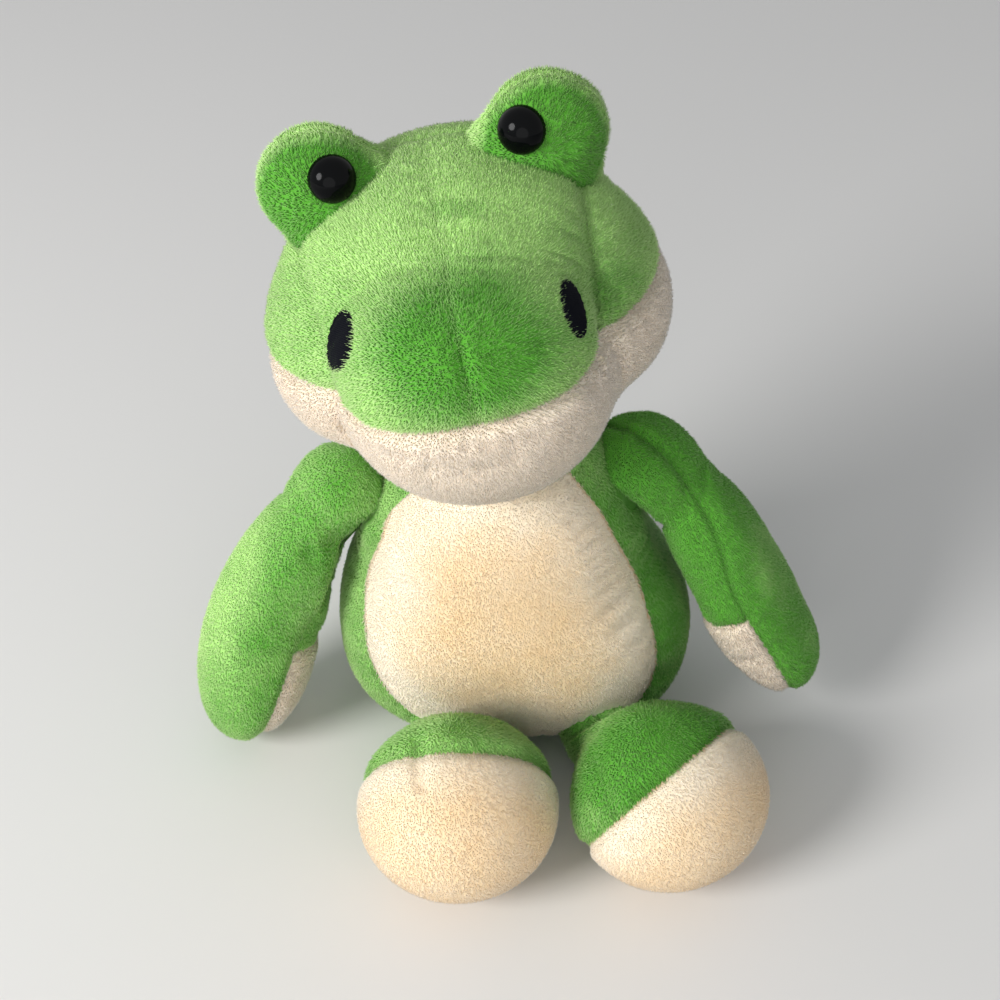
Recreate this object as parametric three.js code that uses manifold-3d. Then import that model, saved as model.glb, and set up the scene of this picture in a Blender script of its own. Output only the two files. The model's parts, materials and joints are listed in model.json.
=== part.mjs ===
// A seated plush alligator: sewn pile covers over stuffing, with safety eyes.
// Millimetres, +Z up, the face towards -Y. Left and right are the toy's own, so its left is on +X.
import * as THREE from "three";
import { mergeVertices } from "three/addons/utils/BufferGeometryUtils.js";
import Module from "manifold-3d";

const wasm = await Module();
wasm.setup();

// Cloth and sewing
const clothThickness = 1.8;
const seamGap = 0.3;
const fillGap = 0.4;
const turningGap = 0.75;
const rimGap = 2.4;
const neckGap = 0.9;
const flatDepth = 0.5;
const rootSpare = 0.3;
const rootMouthDepth = 2.6;

// Body: a bag that is widest low down and leans to the toy's right, with a ball-shaped neck
const bodyLean = 0.13;
const bodyBaseShift = 9;
const bodyMelt = 14;
const seatWide = 53;
const seatDeep = 37;
const seatHigh = 33;
const seatBluntness = 2.5;
const chestAt = 64;
const chestRadii = [41.5, 32, 35];
const chestBluntness = 2.4;
const neckHeight = 90;
const neckShift = 5.5;
const neckBack = 3;
const neckBallRadius = 27;
const neckMouthRadius = 11;
const bellyBack = -11.5;
const bellyBottom = 9;
const bellyLevels = [12, 20, 33, 46, 63, 83, 93, 103];
const bellyWidths = {
  left: [19, 32, 40.5, 42, 39, 33, 29, 23],
  right: [19, 32, 40.5, 42, 39, 30, 24, 12],
};
const pelletLevel = 24;

// Head, about its own centre, which stands above the neck
const headRise = 59.5;
const nodCleared = 20;
const headRoll = 12;
const headTurn = 5;
const craniumAt = [0, 6, 3];
const craniumRadii = [47, 41, 38];
const muzzleAt = [0, -24, -1];
const muzzleRadii = [34.5, 29, 28];
const muzzleBluntness = 2.4;
const jawAt = [0, -17, -17];
const jawRadii = [34, 31, 25];
const cheekAt = [31, 1, -6];
const cheekRadii = [22, 29, 25];
const headMelt = 7;
const mouthLevel = 1.5;
const mouthSlope = 2;
const sideSeamAt = 36;
const sideSeamLean = 6;
const headBackSeamAt = 16;

// Eye bumps: stuffed half-discs that stand on sloping seams, each with a safety eye
const bumpAt = { left: [28.5, 8, 35.5], right: [26, 8, 35.5] };
const bumpRadii = [16.5, 11, 18.5];
const bumpSlope = 32;
const eyeAt = { left: [-8.4, 5.7], right: [-7, 5.7] };
const eyeDomeRadius = 6;
const eyeDomeHeight = 5;
const eyeShankRadius = 2;
const eyeShankLength = 8;
const washerRadius = 5.8;
const washerThickness = 1.4;

// Nostrils: embroidered ovals on the upper corners of the snout
const nostrilAt = { left: [28, 12.5], right: [27.5, 17.5] };
const nostrilHalfWidth = 3.6;
const nostrilHalfHeight = 5.6;
const nostrilLean = 20;
const nostrilThickness = 0.9;

// Arms hang from ball-shaped roots at the shoulders
const shoulderAt = [41, 2, 87.5];
const armRootRadius = 14.5;
const upperArmAt = [9, 0, -38];
const upperArmRadii = [14, 17, 38];
const handAt = [6, -1, -66];
const handRadii = [14.5, 18.5, 24];
const armMelt = 5;
const armMiddle = -28;
const armSwings = [0, -90];
const padStart = { left: 57, right: 51 };
const armSplay = { left: 30.5, right: 21 };
const armReach = { left: 7.5, right: 17 };
const armTwist = { left: 20, right: 0 };

// Legs: ball-shaped roots at the hips and broad blunt feet
const hipAt = [22, -29, 17.5];
const legRootRadius = 14.5;
const footAt = [0, -38, 7.5];
const footRadii = [28.5, 26.5, 25.5];
const legMelt = 20;
const legSwings = [0, -20, 25];
const solePlaneAt = { left: 44, right: 45 };
const soleTilt = { left: 12, right: 16 };
const soleTurn = { left: 0, right: 6 };
const legSplay = { left: 26, right: -2 };

// Tail: a taper that lies on the floor behind the body
const tailAt = [4, 32, 15];
const tailRootRadius = 14;
const tailTipAt = [0, 30, -7];
const tailTipRadii = [8.5, 27, 8];
const tailTipBluntness = 2.4;
const tailMelt = 12;
const tailSwings = [0];

// Facets along and round each form
const detail = {
  body: [9, 16],
  head: [10, 16],
  bump: [6, 10],
  arm: [7, 10],
  leg: [7, 12],
  root: [5, 12],
  neck: [7, 14],
  tail: [6, 8],
  turned: 8,
  stitching: 5,
};
const bellySteps = 24;
const halvings = 22;
const reach = 400;

const colours = {
  green: 0x5fae41,
  cream: 0xe6d6c8,
  peach: 0xfae2bc,
  filling: 0xf4f2ec,
  pellets: 0xd9d4c6,
  black: 0x050505,
  thread: 0x14161a,
  washer: 0xe8e8e4,
};

const radians = THREE.MathUtils.degToRad;

// The signed volume of an indexed geometry, which is negative when its faces point inwards
function signedVolume(geometry) {
  const at = geometry.attributes.position;
  const index = geometry.index;
  const [a, b, c] = [0, 1, 2].map(() => new THREE.Vector3());
  let sum = 0;
  for (let i = 0; i < index.count; i += 3) {
    a.fromBufferAttribute(at, index.getX(i));
    b.fromBufferAttribute(at, index.getX(i + 1));
    c.fromBufferAttribute(at, index.getX(i + 2));
    sum += a.dot(b.cross(c));
  }
  return sum;
}

function solidOf(geometry) {
  const bare = geometry.clone();
  bare.deleteAttribute("normal");
  bare.deleteAttribute("uv");
  const merged = mergeVertices(bare, 1e-4);
  const triVerts = new Uint32Array(merged.index.array);
  if (signedVolume(merged) < 0) {
    triVerts.reverse();
  }
  const vertProperties = new Float32Array(merged.attributes.position.array);
  return new wasm.Manifold(new wasm.Mesh({ numProp: 3, vertProperties, triVerts }));
}

function geometryOf(solid) {
  const mesh = solid.getMesh();
  const geometry = new THREE.BufferGeometry();
  geometry.setAttribute("position", new THREE.BufferAttribute(mesh.vertProperties, 3));
  geometry.setIndex(new THREE.BufferAttribute(mesh.triVerts, 1));
  return geometry;
}

function meshOf(name, solid, colour, roughness = 0.95) {
  const material = new THREE.MeshStandardMaterial({ color: colour, roughness, metalness: 0 });
  const geometry = geometryOf(solid);
  geometry.computeVertexNormals();
  const mesh = new THREE.Mesh(geometry, material);
  mesh.name = name;
  return mesh;
}

// A closed skin over rings of points, with one point at each end
function skinOf(rings, first, last) {
  const around = rings[0].length;
  const points = [first, ...rings.flat(), last];
  const faces = [];
  const end = points.length - 1;
  for (let j = 0; j < around; j += 1) {
    const next = (j + 1) % around;
    faces.push(0, 1 + next, 1 + j);
    for (let i = 0; i < rings.length - 1; i += 1) {
      const low = 1 + i * around;
      const high = low + around;
      faces.push(low + j, low + next, high + next);
      faces.push(low + j, high + next, high + j);
    }
    const top = 1 + (rings.length - 1) * around;
    faces.push(top + j, top + next, end);
  }
  const geometry = new THREE.BufferGeometry().setFromPoints(points);
  geometry.setIndex(faces);
  return geometry;
}

// How far outside an egg a point is, about in millimetres and negative inside
function outside(point, { at, radii, bluntness }, grow) {
  const shares = radii.map((r, i) => Math.abs(point.getComponent(i) - at[i]) / (r + grow));
  const sum = shares.reduce((total, share) => total + share ** bluntness, 0);
  return (sum ** (1 / bluntness) - 1) * (Math.min(...radii) + grow);
}

// Eggs melted into one plump form, found along rays from a point inside it
function meltedEggs({ eggs, melt, from, stretch = [1, 1, 1], detail: [steps, around] }, grow = 0) {
  const centre = new THREE.Vector3(...from);
  const distance = (point) =>
    eggs
      .map((egg) => outside(point, egg, grow))
      .reduce((near, far) => {
        const share = Math.max(melt - Math.abs(near - far), 0) / melt;
        return Math.min(near, far) - (share * share * melt) / 4;
      });
  const surface = (tilt, turn) => {
    const level = Math.sin(tilt);
    const ray = new THREE.Vector3(level * Math.cos(turn), level * Math.sin(turn), Math.cos(tilt));
    ray.multiply(new THREE.Vector3(...stretch)).normalize();
    let low = 0;
    let high = reach / 2;
    for (let i = 0; i < halvings; i += 1) {
      const middle = (low + high) / 2;
      const inside = distance(centre.clone().addScaledVector(ray, middle)) < 0;
      low = inside ? middle : low;
      high = inside ? high : middle;
    }
    return centre.clone().addScaledVector(ray, low);
  };
  const rings = [];
  for (let i = 1; i < steps; i += 1) {
    const ring = [];
    for (let j = 0; j < around; j += 1) {
      ring.push(surface((Math.PI * i) / steps, (2 * Math.PI * j) / around));
    }
    rings.push(ring);
  }
  return skinOf(rings, surface(0, 0), surface(Math.PI, 0));
}

// A ball with its poles on the sideways axis that its joint turns about
function ball(radius, [steps, around], at = [0, 0, 0]) {
  return new THREE.SphereGeometry(radius, around, steps).rotateZ(Math.PI / 2).translate(...at);
}

function egg(at, radii, bluntness = 2) {
  return { at, radii, bluntness };
}

// All that lies beyond a plane, on the side its normal points to
function beyond(point, normal) {
  const box = new THREE.BoxGeometry(reach, reach, reach).translate(0, 0, reach / 2);
  const turn = new THREE.Quaternion();
  turn.setFromUnitVectors(new THREE.Vector3(0, 0, 1), new THREE.Vector3(...normal).normalize());
  return solidOf(box.applyQuaternion(turn).translate(...point));
}

// Parts a solid at a plane, leaving half a seam gap on each side
function parted(solid, point, normal) {
  const step = new THREE.Vector3(...normal).setLength(seamGap / 2);
  const at = new THREE.Vector3(...point);
  const ahead = beyond(at.clone().add(step).toArray(), normal);
  const behind = beyond(at.clone().sub(step).toArray(), step.clone().negate().toArray());
  return [solid.intersect(ahead), solid.intersect(behind)];
}

// A solid turned about its own Z axis, from radius and height pairs that start and end on the axis
function turned(profile) {
  const points = profile.map(([radius, height]) => new THREE.Vector2(radius, height));
  return new THREE.LatheGeometry(points, detail.turned).rotateX(Math.PI / 2);
}

// The levels of one stuffed piece: the cover's outside, its inside, and the stuffing
const outer = 0;
const inner = -clothThickness;
const filling = -clothThickness - fillGap;

const sides = { left: 1, right: -1 };
const axisAt = (height) => bodyBaseShift - bodyLean * height;
const neckAt = [axisAt(neckHeight) + neckShift, neckBack, neckHeight];

function hipOf(side) {
  return [sides[side] * hipAt[0] + bodyBaseShift, hipAt[1], hipAt[2]];
}

// The shoulders lean with the body, so the left one stands higher
function shoulderOf(side) {
  const [across, back, up] = shoulderAt;
  return [sides[side] * across + axisAt(up), back, up + sides[side] * across * bodyLean];
}

const poseOf = {
  neck: () => new THREE.Euler(0, -radians(headRoll), radians(headTurn), "YZX"),
  arm: (side) => {
    const [reachForward, splay, twist] = [armReach[side], armSplay[side], armTwist[side]].map(radians);
    return new THREE.Euler(-reachForward, -sides[side] * splay, -sides[side] * twist);
  },
  leg: (side) => new THREE.Euler(0, 0, radians(sides[side] * legSplay[side])),
};

// The inverse of a place and turn, which brings the body's own frame into a limb's
function frameOf(at, pose) {
  const turn = new THREE.Quaternion().setFromEuler(pose);
  return new THREE.Matrix4().compose(new THREE.Vector3(...at), turn, new THREE.Vector3(1, 1, 1)).invert();
}

// The body, grown a little, as a limb meets it once swung, in the limb's own frame
function bodySeenFrom(at, pose, swing, grow) {
  const back = new THREE.Matrix4().makeTranslation(...at);
  back.multiply(new THREE.Matrix4().makeRotationX(-radians(swing)));
  back.multiply(new THREE.Matrix4().makeTranslation(...at.map((x) => -x)));
  return solidOf(bodyEggs(grow).applyMatrix4(back).applyMatrix4(frameOf(at, pose)));
}

function bodyEggs(level) {
  const seatAt = seatHigh - flatDepth;
  const eggs = [
    egg([axisAt(seatAt), 0, seatAt], [seatWide, seatDeep, seatHigh], seatBluntness),
    egg([axisAt(chestAt), 0, chestAt], chestRadii, chestBluntness),
    egg(neckAt, [neckBallRadius, neckBallRadius, neckBallRadius]),
  ];
  const from = [axisAt(chestAt), 0, chestAt];
  return meltedEggs({ eggs, melt: bodyMelt, from, stretch: [1, 0.8, 1.3], detail: detail.body }, level);
}

// The body's form at one level, cut flat below and with a dimple for each limb root
function bodyForm(level) {
  let form = solidOf(bodyEggs(level));
  const dimple = (rootRadius, at) => solidOf(ball(rootRadius + turningGap - level, detail.root, at));
  for (const side of Object.keys(sides)) {
    form = form.subtract(dimple(legRootRadius, hipOf(side)));
    form = form.subtract(dimple(armRootRadius, shoulderOf(side)));
  }
  form = form.subtract(dimple(tailRootRadius, tailAt));
  return form.intersect(beyond([0, 0, -level], [0, 0, 1]));
}

// The front panel's outline, pushed through the front half of the body
function bellyCutter(widen) {
  const edgeOf = (side) =>
    bellyLevels.map((level, i) => new THREE.Vector2(sides[side] * bellyWidths[side][i], level));
  const bottom = new THREE.Vector2(0, bellyBottom);
  const edge = new THREE.SplineCurve([...edgeOf("left").reverse(), bottom, ...edgeOf("right")]);
  const points = Array.from({ length: bellySteps + 1 }, (_, i) => {
    const along = edge.getTangent(i / bellySteps);
    return edge.getPoint(i / bellySteps).add(new THREE.Vector2(-along.y, along.x).multiplyScalar(widen));
  });
  points[0].y += widen;
  points[bellySteps].y += widen;
  const shape = new THREE.Shape(points);
  const block = new THREE.ExtrudeGeometry(shape, { depth: reach / 2, bevelEnabled: false });
  block.rotateX(Math.PI / 2).translate(0, bellyBack + widen, 0);
  const lean = new THREE.Matrix4().makeShear(0, 0, 0, 0, -bodyLean, 0).setPosition(bodyBaseShift, 0, 0);
  return solidOf(block.applyMatrix4(lean));
}

// The hole where the neck's two covers are sewn to each other
function neckHole(at) {
  const hole = new THREE.CylinderGeometry(neckMouthRadius, neckMouthRadius, neckBallRadius, detail.turned);
  return solidOf(hole.rotateX(Math.PI / 2).translate(at[0], at[1], at[2] + neckBallRadius));
}

function makeBody() {
  const group = new THREE.Group();
  const shell = bodyForm(outer).subtract(bodyForm(inner)).subtract(neckHole(neckAt));
  group.add(meshOf("belly_panel", shell.intersect(bellyCutter(-seamGap / 2)), colours.peach));
  const green = shell.subtract(bellyCutter(seamGap / 2));
  const [left, right] = parted(green, [axisAt(chestAt), 0, chestAt], [1, 0, bodyLean]);
  group.add(meshOf("body_side_left", left, colours.green));
  group.add(meshOf("body_side_right", right, colours.green));
  const [stuffing, seat] = parted(bodyForm(filling), [0, 0, pelletLevel], [0, 0, 1]);
  group.add(meshOf("body_stuffing", stuffing, colours.filling));
  group.add(meshOf("pellet_bag", seat, colours.pellets));
  return group;
}

// The head's eggs in the neck's frame, before the neck ball is cut out of them
function headEggs(level) {
  const lifted = ([x, y, z], side = 1) => [side * x, y - neckBack, z + headRise];
  const eggs = [
    egg(lifted(craniumAt), craniumRadii),
    egg(lifted(jawAt), jawRadii),
    egg(lifted(muzzleAt), muzzleRadii, muzzleBluntness),
    egg(lifted(cheekAt), cheekRadii),
    egg(lifted(cheekAt, -1), cheekRadii),
  ];
  return meltedEggs({ eggs, melt: headMelt, from: [0, -neckBack, headRise], detail: detail.head }, level);
}

// The head hollowed for the neck ball, with the jaw trimmed so that a full nod clears the chest
function headForm(level) {
  const socket = solidOf(ball(neckBallRadius + neckGap - level, detail.neck));
  const nodded = bodySeenFrom(neckAt, poseOf.neck(), nodCleared, neckGap - level);
  return solidOf(headEggs(level)).subtract(socket).subtract(nodded);
}

// One eye bump in its own frame, with the eye's shank through its cover and the washer behind
function makeBump(side) {
  const s = sides[side];
  const [bumpAcross, bumpBack, bumpUp] = bumpAt[side];
  const at = [s * bumpAcross, bumpBack - neckBack, bumpUp + headRise];
  const pose = new THREE.Euler(0, radians(s * bumpSlope), 0);
  const head = (level) => solidOf(headEggs(seamGap - level).applyMatrix4(frameOf(at, pose)));
  const bumpForm = (level) => {
    const form = new THREE.SphereGeometry(1, detail.bump[1], detail.bump[0]).rotateX(Math.PI / 2);
    return solidOf(form.scale(...bumpRadii.map((r) => r + level)));
  };
  const [across, up] = [s * eyeAt[side][0], eyeAt[side][1]];
  const rest = 1 - (across / bumpRadii[0]) ** 2 - (up / bumpRadii[2]) ** 2;
  const skin = new THREE.Vector3(across, -bumpRadii[1] * Math.sqrt(rest), up);
  const squares = new THREE.Vector3(...bumpRadii.map((r) => r * r));
  const facing = skin.clone().divide(squares).normalize();
  const turn = new THREE.Quaternion().setFromUnitVectors(new THREE.Vector3(0, 0, 1), facing);
  const placed = (profile) => solidOf(turned(profile).applyQuaternion(turn).translate(...skin.toArray()));

  const seat = -(eyeDomeRadius ** 2) / (2 * bumpRadii[2]);
  const shankEnd = seat - eyeShankLength;
  const dome = [];
  for (let i = 0; i <= 4; i += 1) {
    const a = (Math.PI / 8) * i;
    dome.push([i < 4 ? eyeDomeRadius * Math.cos(a) : 0, seat + eyeDomeHeight * Math.sin(a)]);
  }
  const eye = placed([[0, shankEnd], [eyeShankRadius, shankEnd], [eyeShankRadius, seat], ...dome]);
  const washerFront = seat - clothThickness - 2 * seamGap;
  const bore = eyeShankRadius + seamGap;
  const washer = placed([
    [bore, washerFront - washerThickness],
    [washerRadius, washerFront - washerThickness],
    [washerRadius, washerFront],
    [bore, washerFront],
    [bore, washerFront - washerThickness],
  ]);
  const plug = (radius, low, high) => placed([[0, low], [radius, low], [radius, high], [0, high]]);
  const dimple = plug(eyeDomeRadius + seamGap, seat - seamGap, eyeDomeRadius);
  const shankHole = plug(bore, shankEnd, eyeDomeRadius);
  const behind = plug(washerRadius + seamGap, shankEnd - seamGap, washerFront + seamGap);
  const patch = plug(washerRadius + 3 * seamGap, washerFront + seamGap, eyeDomeRadius);

  const hollow = bumpForm(inner).subtract(patch).add(behind);
  const cover = bumpForm(outer).subtract(hollow).subtract(head(outer)).subtract(dimple).subtract(shankHole);
  const fill = bumpForm(filling).subtract(head(outer)).subtract(behind).subtract(patch);
  const group = new THREE.Group();
  group.add(meshOf(`eye_bump_${side}`, cover, colours.green));
  group.add(meshOf(`eye_bump_stuffing_${side}`, fill, colours.filling));
  group.add(meshOf(`eye_${side}`, eye, colours.black, 0.05));
  group.add(meshOf(`eye_washer_${side}`, washer, colours.washer, 0.4));
  group.position.set(...at);
  group.rotation.copy(pose);
  return group;
}

function makeNostril(side) {
  const s = sides[side];
  const outline = new THREE.Shape().absellipse(0, 0, nostrilHalfWidth, nostrilHalfHeight, 0, 2 * Math.PI);
  const options = { depth: reach / 2, bevelEnabled: false, curveSegments: detail.stitching };
  const block = new THREE.ExtrudeGeometry(outline, options);
  block.rotateX(Math.PI / 2).rotateY(-radians(s * nostrilLean));
  block.translate(s * nostrilAt[side][0], 0, nostrilAt[side][1] + headRise);
  const back = headEggs(outer + seamGap);
  const skin = solidOf(headEggs(outer + seamGap + nostrilThickness)).subtract(solidOf(back));
  return meshOf(`nostril_${side}`, skin.intersect(solidOf(block)), colours.thread);
}

function makeHead() {
  const group = new THREE.Group();
  const shell = headForm(outer).subtract(headForm(inner)).subtract(neckHole([0, 0, 0]));
  const [back, front] = parted(shell, [0, headBackSeamAt - neckBack, 0], [0, 1, 0]);
  const tilt = radians(mouthSlope);
  const [top, jaw] = parted(front, [0, 0, headRise + mouthLevel], [0, -Math.sin(tilt), Math.cos(tilt)]);
  group.add(meshOf("head_back", back, colours.green));
  group.add(meshOf("lower_jaw", jaw, colours.cream));
  const lean = radians(sideSeamLean);
  let middle = top;
  for (const side of Object.keys(sides)) {
    const s = sides[side];
    const at = [s * sideSeamAt, 0, headRise];
    const [cheekPanel, rest] = parted(middle, at, [s * Math.cos(lean), 0, -Math.sin(lean)]);
    group.add(meshOf(`cheek_${side}`, cheekPanel, colours.green));
    middle = rest;
  }
  const [topLeft, topRight] = parted(middle, [0, 0, 0], [1, 0, 0]);
  group.add(meshOf("head_top_left", topLeft, colours.green));
  group.add(meshOf("head_top_right", topRight, colours.green));
  group.add(meshOf("head_stuffing", headForm(filling), colours.filling));
  for (const side of Object.keys(sides)) {
    group.add(makeBump(side));
    group.add(makeNostril(side));
  }
  group.position.set(...neckAt);
  group.rotation.copy(poseOf.neck());
  return group;
}

// A limb's form cut by the body at rest and swung, down to the root ball that turns in the body's dimple
function limbForm(form, level, rootRadius, at, pose, swings) {
  const root = solidOf(ball(rootRadius + level, detail.root, at).applyMatrix4(frameOf(at, pose)));
  let limb = solidOf(form);
  for (const swing of swings) {
    limb = limb.subtract(bodySeenFrom(at, pose, swing, rimGap - level).subtract(root));
  }
  return limb;
}

// The root egg of a limb, a little larger than the ball that the body trims it to
function rootEgg(radius) {
  return egg([0, 0, 0], [radius, radius, radius].map((r) => r + rootSpare));
}

function armForm(side, level) {
  const s = sides[side];
  const eggs = [
    rootEgg(armRootRadius),
    egg([s * upperArmAt[0], upperArmAt[1], upperArmAt[2]], upperArmRadii),
    egg([s * handAt[0], handAt[1], handAt[2]], handRadii),
  ];
  const from = [0, 0, armMiddle];
  const form = meltedEggs({ eggs, melt: armMelt, from, stretch: [1, 1, 2.2], detail: detail.arm }, level);
  return limbForm(form, level, armRootRadius, shoulderOf(side), poseOf.arm(side), armSwings);
}

function makeArm(side) {
  const s = sides[side];
  const group = new THREE.Group();
  const mouth = beyond([-s * (armRootRadius - rootMouthDepth), 0, 0], [-s, 0, 0]);
  const shell = armForm(side, outer).subtract(armForm(side, inner)).subtract(mouth);
  const [outside, inside] = parted(shell, [0, 0, 0], [s, 0, 0]);
  const [upper, pad] = parted(inside, [0, 0, -padStart[side]], [0, 0, 1]);
  group.add(meshOf(`arm_outer_${side}`, outside, colours.green));
  group.add(meshOf(`arm_inner_${side}`, upper, colours.green));
  group.add(meshOf(`hand_pad_${side}`, pad, colours.cream));
  group.add(meshOf(`arm_stuffing_${side}`, armForm(side, filling).subtract(mouth), colours.filling));
  group.position.set(...shoulderOf(side));
  group.rotation.copy(poseOf.arm(side));
  return group;
}

function legForm(side, level) {
  const eggs = [rootEgg(legRootRadius), egg(footAt, footRadii)];
  const from = [0, footAt[1] / 2, 0];
  const form = meltedEggs({ eggs, melt: legMelt, from, detail: detail.leg }, level);
  const limb = limbForm(form, level, legRootRadius, hipOf(side), poseOf.leg(side), legSwings);
  return limb.intersect(beyond([0, 0, -hipAt[2] - level], [0, 0, 1]));
}

function makeLeg(side) {
  const group = new THREE.Group();
  const mouth = beyond([0, legRootRadius - rootMouthDepth, 0], [0, 1, 0]);
  const shell = legForm(side, outer).subtract(legForm(side, inner)).subtract(mouth);
  const facing = new THREE.Vector3(0, -1, 0);
  const [tilt, turn] = [radians(soleTilt[side]), radians(sides[side] * soleTurn[side])];
  facing.applyEuler(new THREE.Euler(-tilt, 0, turn, "ZXY"));
  const [sole, cover] = parted(shell, [0, -solePlaneAt[side], 0], facing.toArray());
  group.add(meshOf(`leg_${side}`, cover, colours.green));
  group.add(meshOf(`foot_sole_${side}`, sole, colours.cream));
  group.add(meshOf(`leg_stuffing_${side}`, legForm(side, filling).subtract(mouth), colours.filling));
  group.position.set(...hipOf(side));
  group.rotation.copy(poseOf.leg(side));
  return group;
}

function tailForm(level) {
  const eggs = [rootEgg(tailRootRadius), egg(tailTipAt, tailTipRadii, tailTipBluntness)];
  const from = [0, tailTipAt[1] / 2, tailTipAt[2] / 2];
  const form = meltedEggs({ eggs, melt: tailMelt, from, stretch: [1, 2, 1], detail: detail.tail }, level);
  const limb = limbForm(form, level, tailRootRadius, tailAt, new THREE.Euler(), tailSwings);
  return limb.intersect(beyond([0, 0, -tailAt[2] - level], [0, 0, 1]));
}

function makeTail() {
  const group = new THREE.Group();
  const mouth = beyond([0, rootMouthDepth - tailRootRadius, 0], [0, -1, 0]);
  const shell = tailForm(outer).subtract(tailForm(inner)).subtract(mouth);
  group.add(meshOf("tail", shell, colours.green));
  group.add(meshOf("tail_stuffing", tailForm(filling).subtract(mouth), colours.filling));
  group.position.set(...tailAt);
  return group;
}

const alligator = new THREE.Group();
alligator.add(makeBody());
alligator.add(makeHead());
for (const side of Object.keys(sides)) {
  alligator.add(makeArm(side));
  alligator.add(makeLeg(side));
}
alligator.add(makeTail());

// The origin goes under the middle of the whole toy
const extent = new THREE.Box3().setFromObject(alligator, true);
const middle = extent.getCenter(new THREE.Vector3());
alligator.position.set(-middle.x, -middle.y, -extent.min.z);

export default alligator;
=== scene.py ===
import json
import math
import bpy
import numpy as np
from mathutils import Matrix, Vector
from mathutils.bvhtree import BVHTree


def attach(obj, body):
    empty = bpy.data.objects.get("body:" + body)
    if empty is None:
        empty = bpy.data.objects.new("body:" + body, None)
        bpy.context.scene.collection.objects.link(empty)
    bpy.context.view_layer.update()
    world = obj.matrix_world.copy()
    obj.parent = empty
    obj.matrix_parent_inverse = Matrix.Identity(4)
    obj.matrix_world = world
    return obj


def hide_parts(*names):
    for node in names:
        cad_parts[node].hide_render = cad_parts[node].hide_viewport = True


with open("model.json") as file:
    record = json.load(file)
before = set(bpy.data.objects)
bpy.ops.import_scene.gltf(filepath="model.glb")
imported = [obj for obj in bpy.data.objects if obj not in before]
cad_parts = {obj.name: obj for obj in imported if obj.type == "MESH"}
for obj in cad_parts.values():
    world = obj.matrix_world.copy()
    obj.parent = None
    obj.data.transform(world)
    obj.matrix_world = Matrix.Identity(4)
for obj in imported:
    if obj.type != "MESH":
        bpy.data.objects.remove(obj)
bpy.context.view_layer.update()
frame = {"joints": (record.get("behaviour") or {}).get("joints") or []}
print("frame loaded")

mm = 0.001
perMetre = 1000  # all lengths in the part's values are millimetres
sides = {"left": 1, "right": -1}
joints = {joint["name"]: joint for joint in frame["joints"]}


def jointAt(name):
    return Vector(joints[name]["pos_m"]) / mm


def turn(axis, degrees):
    return Matrix.Rotation(math.radians(degrees), 4, axis)


def through(matrix, points):  # points is an array of rows, in millimetres
    grid = np.array(matrix)
    return points @ grid[:3, :3].T + grid[:3, 3]


def linear(red, green, blue):  # from the 0 to 255 values of a screen
    shares = [c / 255 for c in (red, green, blue)]
    return [c / 12.92 if c <= 0.04045 else ((c + 0.055) / 1.055) ** 2.4 for c in shares] + [1.0]


def rise(values, low, high):  # 0 below low and 1 above high, smooth between
    share = np.clip((values - low) / (high - low), 0, 1)
    return share * share * (3 - 2 * share)


# ---- nodes

def built(tree, kind, inputs={}, **settings):  # a node whose inputs are linked where they are sockets
    node = tree.nodes.new(kind)
    for name, value in settings.items():
        setattr(node, name, value)
    for place, value in inputs.items():
        if isinstance(value, bpy.types.NodeSocket):
            tree.links.new(value, node.inputs[place])
        else:
            node.inputs[place].default_value = value
    return node


def maths(tree, operation, first, second, kind="ShaderNodeMath"):
    return built(tree, kind, {0: first, 1: second}, operation=operation).outputs[0]


def newMaterial(name, look):
    material = bpy.data.materials.new(name)
    material.use_nodes = True
    shader = material.node_tree.nodes["Principled BSDF"]
    for socket, value in look.items():
        shader.inputs[socket].default_value = value
    return material, material.node_tree, shader


# ---- camera, floor and light

view = {
    "at": (-0.003318, -0.317045, 0.368),
    "tiltDegrees": 48,
    "lens": 54,
    "sensor": 36,
    "nearest": 0.01,
    "floorSize": 3.0,
    "floorLook": {"Base Color": linear(226, 224, 221), "Roughness": 0.7, "Specular IOR Level": 0.2},
    "lampsAim": (0, 0, 0.1),
    "keyAt": (-1.0, -0.72, 0.72),
    "keySize": 0.6,
    "keyPower": 18,
    "fillAt": (-0.1, -1.1, 0.3),
    "fillSize": 1.0,
    "fillPower": 3.5,
    "worldColour": (0.93, 0.96, 1.0, 1),
    "worldStrength": 0.42,
}
lensWay = Matrix.Translation(Vector(view["at"]) * perMetre) @ turn("X", view["tiltDegrees"])
picture = {"middle": 500, "focal": view["lens"] / view["sensor"] * 1000}  # in thousandths of its width


def softLamp(name, at, size, power):
    bpy.ops.object.light_add(type="AREA", location=at)
    lamp = bpy.context.object
    lamp.name = name
    lamp.data.shape = "DISK"
    lamp.data.size = size
    lamp.data.energy = power
    way = Vector(view["lampsAim"]) - lamp.location
    lamp.rotation_euler = way.to_track_quat("-Z", "Y").to_euler()


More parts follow.
